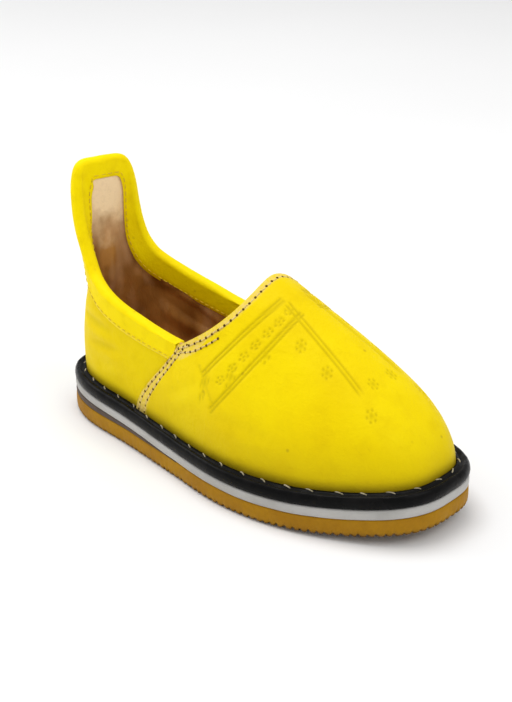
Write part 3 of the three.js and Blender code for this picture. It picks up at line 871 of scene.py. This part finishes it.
def layer_solid(name, loops, materials, fill=14, marks=None, shape_top=None):
    """Loops stacked from the bottom up, closed below and above by strips from side to side.
    loops: (levels, 2n, 3), each from the toe by the left side to the heel and back by the right."""
    levels, size, _ = loops.shape
    points = [loops.reshape(-1, 3)]
    faces = []
    ring = np.arange(size)
    for level in range(levels - 1):
        a = level * size + ring
        b = level * size + (ring + 1) % size
        faces += np.stack([a, b, b + size, a + size], -1).tolist()
    extra = loops.size // 3
    half = size // 2
    share = np.linspace(0, 1, fill + 1)[1:-1, None]
    for level, flip in ((0, True), (levels - 1, False)):
        across = blend(loops[level, 1:half, None], loops[level, :half:-1, None], share)
        if shape_top is not None and not flip:
            across = shape_top(across)
        grid = level * size + np.repeat(np.arange(half + 1)[:, None], fill + 1, 1)
        grid[1:-1, -1] = level * size + np.arange(size - 1, half, -1)
        grid[1:-1, 1:-1] = extra + np.arange(across.size // 3).reshape(half - 1, fill - 1)
        extra += across.size // 3
        points.append(across.reshape(-1, 3))
        for k in range(half):
            for m in range(fill):
                quad = [grid[k, m], grid[k, m + 1], grid[k + 1, m + 1], grid[k + 1, m]]
                face = list(dict.fromkeys(int(v) for v in quad))
                if len(face) > 2:
                    faces.append(face[::-1] if not flip else face)
    every = np.concatenate(points)
    made = {key: mark(every) for key, mark in (marks or {}).items()}
    return make_object(name, every, faces, materials, None, made)


# size, height
INSOLE_PROFILE = ((1, 0.1), (1, INSOLE_THICK - 0.5), (0.985, INSOLE_THICK - 0.1), (0.96, INSOLE_THICK))


def build_insole():
    angle, _ = whole_line(60, 140)
    if len(angle) % 2:
        angle = angle[:-1]
    foot = skin(angle, 0, LINING_FACE + 0.5)
    loops = []
    for shrink, height in INSOLE_PROFILE:
        loop = foot.copy()
        loop[:, :2] *= shrink
        loop[:, 2] = midsole_top(loop[:, 0]) + height
        loops.append(loop)

    def dished(p):
        p = p.copy()
        p[..., 2] += 0.25 * lumps(p, 14, 8)
        return p

    insole = layer_solid("insole_board", np.array(loops), [BOARD], shape_top=dished)
    finish_piece(insole, "tan_leather", "insole")


# ---- the collar binding
BINDING_COUNT = 620
BINDING_PITCH = 2.1


def walk(angle, up, direction, distance, steps):
    """Places a given way along a direction in the surface, at each of the steps."""
    places = [(angle, up)]
    for _ in range(steps):
        _, around, rising, normal = last_frame(angle, up)
        reach = np.broadcast_to(distance, angle.shape)[..., None] / steps
        flat = unit(direction - normal * dot(direction, normal)[..., None]) * reach
        a, b, c = dot(around, around), dot(around, rising), dot(rising, rising)
        p, q = dot(flat, around), dot(flat, rising)
        size = a * c - b * b
        angle = angle + (p * c - q * b) / size
        up = np.clip(up + (q * a - p * b) / size, 0, 1)
        places.append((angle, up))
    return places


def evened(values):
    even = values.copy()
    even[1:-1] = 0.25 * values[:-2] + 0.5 * values[1:-1] + 0.25 * values[2:]
    return even


def untangled(angle, up, guide):
    """Smooths places that run backwards against the guide line, as in a tight corner."""
    angle, up = angle.copy(), up.copy()
    ahead = np.diff(guide, axis=0)
    for _ in range(400):
        step = np.diff(last(angle, up), axis=0)
        bad = dot(step, ahead) < 0.25 * dot(ahead, ahead)
        if not bad.any():
            break
        marked = np.zeros(len(angle), bool)
        marked[:-1] |= bad
        marked[1:] |= bad
        for _ in range(4):
            marked[1:] |= marked[:-1]
            marked[:-1] |= marked[1:]
        marked[[0, -1]] = False
        for values in (angle, up):
            values[marked] = evened(values)[marked]
    return angle, up


def build_binding():
    angle, up = (line[8:-8] for line in collar_line(1400))
    edge, _, _ = edge_outward(angle, up, False)
    angle, up = resample(edge, BINDING_COUNT, angle, up)
    point, normal, out = edge_outward(angle, up, False)
    to_end = np.minimum(np.arange(BINDING_COUNT), np.arange(BINDING_COUNT)[::-1])
    rise = 0.2 + 0.8 * smooth(to_end / 75.0)
    face, back = LAP, LINING_FACE + 0.3
    half = (back - face) / 2
    middle = (back + face) / 2

    # on the tab the inner leg is narrower at the top and its window stands a little to the left
    across = np.clip(point[:, 1] / 6, -1, 1)
    on_tab = smooth((point[:, 2] - 50) / 14)
    at_top = smooth((out[:, 2] - 0.6) / 0.25) * on_tab
    taper = TAB_LEG_TAPER * smooth((point[:, 2] - 60) / 10)
    binding_in = BINDING_IN - TAB_OFF_CENTRE * on_tab * across - taper
    binding_in += (TAB_TOP_MARGIN - binding_in) * at_top

    def leg(width, depth, steps, thin=0.0):
        """Rows from the crest to the leg's edge, lying on the leather at that depth. The leather gets
        thinner by thin towards the edge."""
        rows = []
        for k, (a, u) in enumerate(walk(angle, up, -out, width, steps)):
            a, u = untangled(a, u, point)
            for _ in range(2 * k):
                a, u = evened(a), evened(u)
            rows.append(skin(a, u, depth + thin * smooth((k / steps - 0.7) / 0.3)))
        return rows

    swell = 0.09 * lumps(point, 4, 9)
    outside = face - BINDING_THICK + 0.05
    inside = back + BINDING_THICK - 0.05
    outer_rows = leg(BINDING_OUT, outside - swell, 10, SKIVED)
    outer_under = leg(BINDING_OUT, face - 0.06, 5)
    inner_rows = leg(binding_in, inside + swell, 10, -SKIVED)
    inner_under = leg(binding_in, back + 0.06, 5)

    def crest(turn, grow):
        """A half circle over the rim, from the outer leg to the inner one."""
        aside = math.cos(turn) * (half + grow)
        above = math.sin(turn) * (half * 0.8 + grow) * rise
        return point - normal * (middle - aside) + out * above[:, None]

    over = [crest(turn, BINDING_THICK) for turn in np.linspace(0.15, PI - 0.15, 9)]
    under = [crest(turn, 0.06) for turn in np.linspace(PI - 0.3, 0.3, 5)]
    # the leg edges are rounded over a little
    soft_out = outer_rows[-1] * 0.55 + outer_under[-1] * 0.45
    soft_in = inner_rows[-1] * 0.55 + inner_under[-1] * 0.45
    rows = outer_rows[::-1] + over + inner_rows + [soft_in]
    rows += inner_under[::-1] + under + outer_under + [soft_out]
    rings = np.stack(rows, 1)[:, ::-1]
    size = rings.shape[1]
    kinds = np.zeros(size, int)
    kinds[[0, size - 1]] = 1
    last_inner = size - 1 - (len(outer_rows) + len(over) + len(inner_rows))
    kinds[last_inner - 1 : last_inner + 1] = 1
    marks = row_marks(rings, 0, tooled=0, foot=0, worn=0)
    marks["worn"][:, size - 1] = 0.7
    binding = ring_solid("binding", rings, False, [BINDING_PAINTED_LIGHT, RAW], kinds, 0, marks)
    finish_piece(binding, "yellow_leather", "collar_binding")

    # one row of stitches near the edge of either leg
    stitches = []
    for width, depth, lift in ((BINDING_OUT - 1.1, outside, 1), (binding_in - 1.1, inside, -1)):
        a, u = walk(angle, up, -out, width, 8)[-1]
        a, u = untangled(a, u, point)
        line = last(a, u)
        even_a, even_u = resample(line, int(way_along(line)[-1] / BINDING_PITCH) * 3 + 1, a, u)
        p, _, _, n = last_frame(even_a, even_u)
        p = p - n * (depth + lift * 0.02)
        for k in range(0, len(p) - 3, 3):
            stitches.append((p[k], p[k + 2], n[k + 1] * lift))
    finish_piece(stitch_mesh("binding_stitches", stitches, AMBER, 0.13, 0.05), "cream_thread")


# ---- thread
def circle(centre, right, up, radius, sides):
    """Points round a circle."""
    turns = np.linspace(0, 2 * PI, sides, endpoint=False)[:, None]
    return centre + right * radius * np.cos(turns) + up * radius * np.sin(turns)


def tube_faces(base, rings, sides, turned=False):
    """Quads between rings of points from number base on, and a cap at both ends. turned is for
    rings that run the other way round."""
    faces = []
    for k in range(rings - 1):
        for m in range(sides):
            a, b = base + k * sides + m, base + k * sides + (m + 1) % sides
            faces.append([a, b, b + sides, a + sides] if turned else [a, a + sides, b + sides, b])
    first = list(range(base, base + sides))
    end = [v + (rings - 1) * sides for v in first]
    return faces + ([end, first[::-1]] if turned else [first, end[::-1]])


def stitch_mesh(name, stitches, material, radius, arch, steps=7, sides=8, wander=0.0):
    """Every stitch is a short arched thread from one hole to the next, joined in one mesh."""
    rng = np.random.default_rng(SEED + len(stitches))
    points, faces = [], []
    for start, end, normal in stitches:
        base = len(points)
        start, end = np.asarray(start), np.asarray(end)
        along = unit(end - start)
        aside = unit(np.cross(along, normal))
        lift = unit(np.cross(aside, along))
        shift = rng.uniform(-wander, wander, 2)
        thick = radius * rng.uniform(0.88, 1.12)
        for k in range(steps):
            t = k / (steps - 1)
            bow = math.sin(PI * t)
            centre = blend(start, end, t) + lift * (arch * bow - 0.25 * radius) + aside * shift[0] * bow
            round_off = thick * (0.45 + 0.55 * min(1, 3.2 * bow))
            points.extend(circle(centre, aside, lift, round_off, sides))
        faces += tube_faces(base, steps, sides)
    return make_object(name, np.array(points), faces, [material])


def hole_shade_mesh(name, holes, radius, sides=10):
    """Painted shade of the needle holes: each a small dark disc a hair above the leather, with its edge
    sunk in it.
    """
    points, faces = [], []
    for centre, normal in holes:
        base = len(points)
        aside = unit(np.cross(normal, np.array([0.3, 0.5, 0.8])))
        other = np.cross(normal, aside)
        for r, lift in ((1.0, -0.06), (0.85, 0.035), (0.4, 0.045)):
            points.extend(circle(centre + normal * lift, aside, other, radius * r, sides))
        faces += tube_faces(base, 3, sides, True)
    return make_object(name, np.array(points), faces, [HOLE_SHADE])


STITCH = 2.3
# share of a stitch that is down in the hole at either end
HOLE_SHARE = 0.12


def row_on_vamp(angle, up):
    """Holes an even pitch apart along a line on the vamp, with their normals."""
    line = last(angle, up)
    count = int(round(way_along(line)[-1] / STITCH)) + 1
    even_angle, even_up = resample(line, count, angle, up)
    point, _, _, normal = last_frame(even_angle, even_up)
    return point, normal


def build_seam_stitches():
    stitches, holes, rows = [], [], []
    for side in (-1, 1):
        for offset in SEAM_ROWS:
            up = np.linspace(0.13, 1.0, 60)
            _, around, rising, _ = last_frame(np.full(60, SEAM - 0.02), up)
            angle = SEAM - offset / length(around)
            up = np.minimum(up, 1 - 1.6 / length(rising))
            rows.append((side * angle, up))
    # along the throat: distance from its edge, share of the way from the seam to the peak
    for inset, until, count in ((1.5, 1.0, 160), (3.6, 0.3, 120)):
        for side in (-1, 1):
            angle = (SEAM - 0.07) * np.linspace(1 - until, 1, count) ** GATHER
            _, _, rising, _ = last_frame(angle, np.ones_like(angle))
            up = 1 - inset / length(rising)
            rows.append((side * angle, up))
    for angle, up in rows:
        point, normal = row_on_vamp(angle, up)
        holes += zip(point + normal * 0.02, normal)
        for a, b, n in zip(point, point[1:], normal):
            stitches.append((blend(a, b, HOLE_SHARE), blend(b, a, HOLE_SHARE), n))
    finish_piece(stitch_mesh("seam_stitches", stitches, CREAM, 0.2, 0.06, wander=0.2), "cream_thread")
    finish_piece(hole_shade_mesh("needle_hole_shades", holes, 0.4), "tan_leather")


# ---- the welt
WELT_COLUMNS = 640
WELT_PITCH = 7.4
# share of the way from the sole's edge to the leather, height above the midsole
WELT_PROFILE = [
    (0.2, 0.05), (0.06, 0.25), (-0.02, 0.8), (-0.04, 1.6), (-0.01, 2.4), (0.08, 3.1), (0.2, 3.55),
    (0.32, 3.62), (0.42, 3.4), (0.5, 3.0), (0.56, 2.88), (0.62, 2.95), (0.7, 3.2), (0.8, 3.4),
    (0.9, 3.45), (0.97, 3.4),
]


def welt_place(angle, share, height):
    """A place on the welt."""
    edge_x, edge_y = outline_point(angle)
    base = midsole_top(edge_x)
    foot = last(angle, 0)
    up = up_at_height(angle, foot[..., 2] + 3.0)
    depth = np.where(np.abs(angle) > SEAM, LAP, 0.0) - 0.05
    wall = skin(angle, up, depth)
    x = blend(edge_x, wall[..., 0], share)
    y = blend(edge_y, wall[..., 1], share)
    return np.stack([x, y, base + height], -1)


def build_welt():
    angle = sole_angles(WELT_COLUMNS)
    rows = [welt_place(angle, share, height) for share, height in WELT_PROFILE]
    foot = rows[-1].copy()
    foot[:, 2] = midsole_top(outline_point(angle)[0]) + 0.05
    middle = (rows[-1] + foot) / 2
    rings = np.stack(rows + [middle, foot], 1)
    wave = 0.1 * lumps(rings, 3.2, 11) + 0.06 * lumps(rings, 1.5, 12)
    rings[:, 2:-3, 2] += wave[:, 2:-3]
    welt = ring_solid("welt_band", rings[:, ::-1], True, [BLACK])
    finish_piece(welt, "black_rubber", "welt")

    # slanting stitches that hold it to the upper
    rng = np.random.default_rng(SEED)
    edge = np.stack(outline_point(np.linspace(0, 2 * PI, 2000)), -1)
    way = way_along(edge)
    count = int(way[-1] / WELT_PITCH)
    stitches = []
    for k in range(count):
        at = (k + 0.5 + rng.uniform(-0.08, 0.08)) / count * way[-1]
        reach = rng.uniform(1.5, 2.3)
        a, b = (np.interp([at, at + reach], way, np.linspace(0, 2 * PI, 2000)) + PI) % (2 * PI) - PI
        if a < 0:
            a, b = b, a
        low = welt_place(np.array(a), 0.72, 3.25)
        high = welt_place(np.array(b), 0.93, 3.5)
        out = unit(np.array([low[0] - high[0], low[1] - high[1], 2.0]))
        stitches.append((low, high, out))
    finish_piece(stitch_mesh("welt_stitches", stitches, WAXED, 0.2, 0.16, 9, wander=0.15), "cream_thread")


# ---- the sole's layers
SOLE_COLUMNS = 560


def push_out(loops, reach):
    """Moves every point level, away from the middle of the sole."""
    loops[..., :2] += unit(loops[..., :2]) * reach[..., None]


def sole_layer(angle, profile, base, lift, tall):
    """Loops from the bottom up. profile: share of the height, way in from the sole's edge."""
    loops = []
    for share, inset in profile:
        x, y = outline_point(angle, inset)
        loops.append(np.stack([x, y, base(x) + (lift + share * tall(x))], -1))
    return np.array(loops)


# share of the height, way in from the sole's edge
MIDSOLE_PROFILE = ((0, 0.35), (0.08, 0.12), (0.3, 0.02), (0.6, 0.0), (0.88, 0.1), (1, 0.32))
WEDGE_PROFILE = ((0, 0.4), (0.15, 0.16), (0.5, 0.08), (0.85, 0.16), (1, 0.4))


def build_midsole():
    angle = sole_angles(SOLE_COLUMNS)
    loops = sole_layer(angle, MIDSOLE_PROFILE, wedge_top, 0.04, lambda x: midsole_thick(x) - 0.06)
    push_out(loops, 0.1 * lumps(loops, 6, 13))
    midsole = layer_solid("foam_midsole", loops, [FOAM])
    finish_piece(midsole, "white_foam", "midsole")


def build_wedge():
    front = math.acos(2 * (WEDGE_FRONT - 0.012))
    left = np.linspace(front, PI, 190)
    angle = np.concatenate([left, -left[-2::-1]])
    loops = sole_layer(
        angle, WEDGE_PROFILE, outsole_top, 0.02, lambda x: np.maximum(wedge_at(x) - 0.02, 0.03)
    )
    push_out(loops, 0.08 * lumps(loops, 4, 14))
    # closed in front by a straight strip: rings run from one side to the other
    half = len(left)
    rings = []
    for k in range(half):
        right = len(angle) - 1 - k
        a, b = loops[:, k].copy(), loops[:, right].copy()
        if k == half - 1:
            a[:, 1], b[:, 1] = 0.01, -0.01
        share = np.linspace(0, 1, 12)[1:-1, None]
        low = blend(a[0], b[0], share)
        high = blend(b[-1], a[-1], share)
        rings.append(np.concatenate([a[::-1], low, b, high]))
    rings = np.array(rings)
    wedge = ring_solid_fan("rubber_wedge", rings, [BROWN])
    finish_piece(wedge, "brown_rubber", "heel_wedge")


def ring_solid_fan(name, rings, materials):
    count, size, _ = rings.shape
    faces = join_rings(count, size, False)
    faces.append(list(range(size)))
    faces.append([(count - 1) * size + k for k in reversed(range(size))])
    return make_object(name, rings, faces, materials)


OUTSOLE_COLUMNS = 900
NOTCH = 2.3
# inset, height, how much of the bite shows
OUTSOLE_PROFILE = (
    (2.2, 0.0, 0.0), (1.2, 0.0, 0.5), (0.75, 0.05, 1), (0.35, 0.35, 1), (0.12, 0.9, 0.6), (0.02, 1.5, 0.2),
    (0.0, 2.4, 0), (0.0, 3.6, 0), (0.05, 4.5, 0), (0.2, 4.95, 0), (0.45, OUTSOLE_THICK - 0.02, 0),
)


def build_outsole():
    angle = sole_angles(OUTSOLE_COLUMNS)
    edge = np.stack(outline_point(angle), -1)
    step = length(np.roll(edge, -1, axis=0) - edge)
    way = np.concatenate([[0], np.cumsum(step)[:-1]])
    total = step.sum()
    teeth = round(total / NOTCH)
    rng = np.random.default_rng(SEED + 20)

    def by_tooth(low, high):
        return np.interp(way, np.linspace(0, total, teeth + 1), rng.uniform(low, high, teeth + 1))

    wave = np.sin(2 * PI * (way / total * teeth) + 2.5 * by_tooth(-0.35, 0.35))
    bite = np.clip(1.4 * (wave - 0.1), 0, 1) * by_tooth(0.45, 1)
    rows = []
    direction = unit(edge)
    for inset, height, share in OUTSOLE_PROFILE:
        x, y = outline_point(angle, inset)
        inward = share * bite * 0.55
        x, y = x - direction[:, 0] * inward, y - direction[:, 1] * inward
        z = spring_at(x) + height + share * bite * 0.7 * (height < 1.2)
        rows.append(np.stack([x, y, z], -1))
    loops = np.array(rows)
    rough = 0.07 * lumps(loops, 3, 15) + 0.05 * lumps(loops * np.array([1, 1, 0.2]), 0.9, 16)
    push_out(loops[3:], rough[3:])

    # darker towards the bottom edge: dirt on the tread, and painted shade of the floor contact
    def tread_and_contact_shade(points):
        above = points[:, 2] - spring_at(points[:, 0])
        return 0.75 * smooth((1.3 - above) / 1.0)

    outsole = layer_solid("rubber_outsole", loops, [OCHRE], marks={"tread_and_contact_shade": tread_and_contact_shade}, fill=20)
    finish_piece(outsole, "ochre_rubber", "outsole")


build_vamp()
build_quarter()
build_lining()
build_insole()
build_binding()
build_seam_stitches()
build_welt()
build_midsole()
build_wedge()
build_outsole()


# ---- floor, light and camera
FLOOR_HALF = 6000.0
SKY_STRENGTH = 0.62
LAMP_SIZE = 0.6
LAMP_TARGET = (0, 0, 0.03)
# name, place in metres, power
LAMPS = [
    ("key", (-0.18, -0.02, 0.9), 3.6),
    ("side", (-0.9, -0.35, 0.55), 2.4),
    ("front", (0.65, 0.0, 0.8), 1.9),
]
CAMERA_PLACE = (0.2588, -0.2977, 0.2060)
CAMERA_TARGET = (0.001, -0.001, 0.033)
CAMERA_LENS = 79.0


def build_stage():
    look = Look("floor_paper", (0.93, 0.93, 0.93))
    look.spots(look.noise(300, 2), 0.3, 0.7, 1, (0.9, 0.9, 0.9))
    corners = FLOOR_HALF * np.array([(-1, -1, 0), (1, -1, 0), (1, 1, 0), (-1, 1, 0)])
    floor = make_object("floor", corners, [(0, 1, 2, 3)], [look.finish(0.8, 0.1)])

    world = bpy.data.worlds.new("studio")
    bpy.context.scene.world = world
    world.use_nodes = True
    background = world.node_tree.nodes["Background"]
    background.inputs["Color"].default_value = (1, 1, 1, 1)
    background.inputs["Strength"].default_value = SKY_STRENGTH


def aim(obj, place, target):
    obj.location = place
    obj.rotation_euler = (Vector(target) - Vector(place)).to_track_quat("-Z", "Y").to_euler()


def soft_light(name, place, power):
    data = bpy.data.lights.new(name, "AREA")
    data.shape = "DISK"
    data.size = LAMP_SIZE
    data.energy = power
    aim(add_object(name, data), place, LAMP_TARGET)


def build_camera():
    data = bpy.data.cameras.new("camera")
    data.lens = CAMERA_LENS
    data.clip_start = 0.01
    camera = add_object("camera", data)
    aim(camera, CAMERA_PLACE, CAMERA_TARGET)
    bpy.context.scene.camera = camera
    bpy.context.scene.view_settings.view_transform = "Standard"


build_stage()
for lamp in LAMPS:
    soft_light(*lamp)
build_camera()
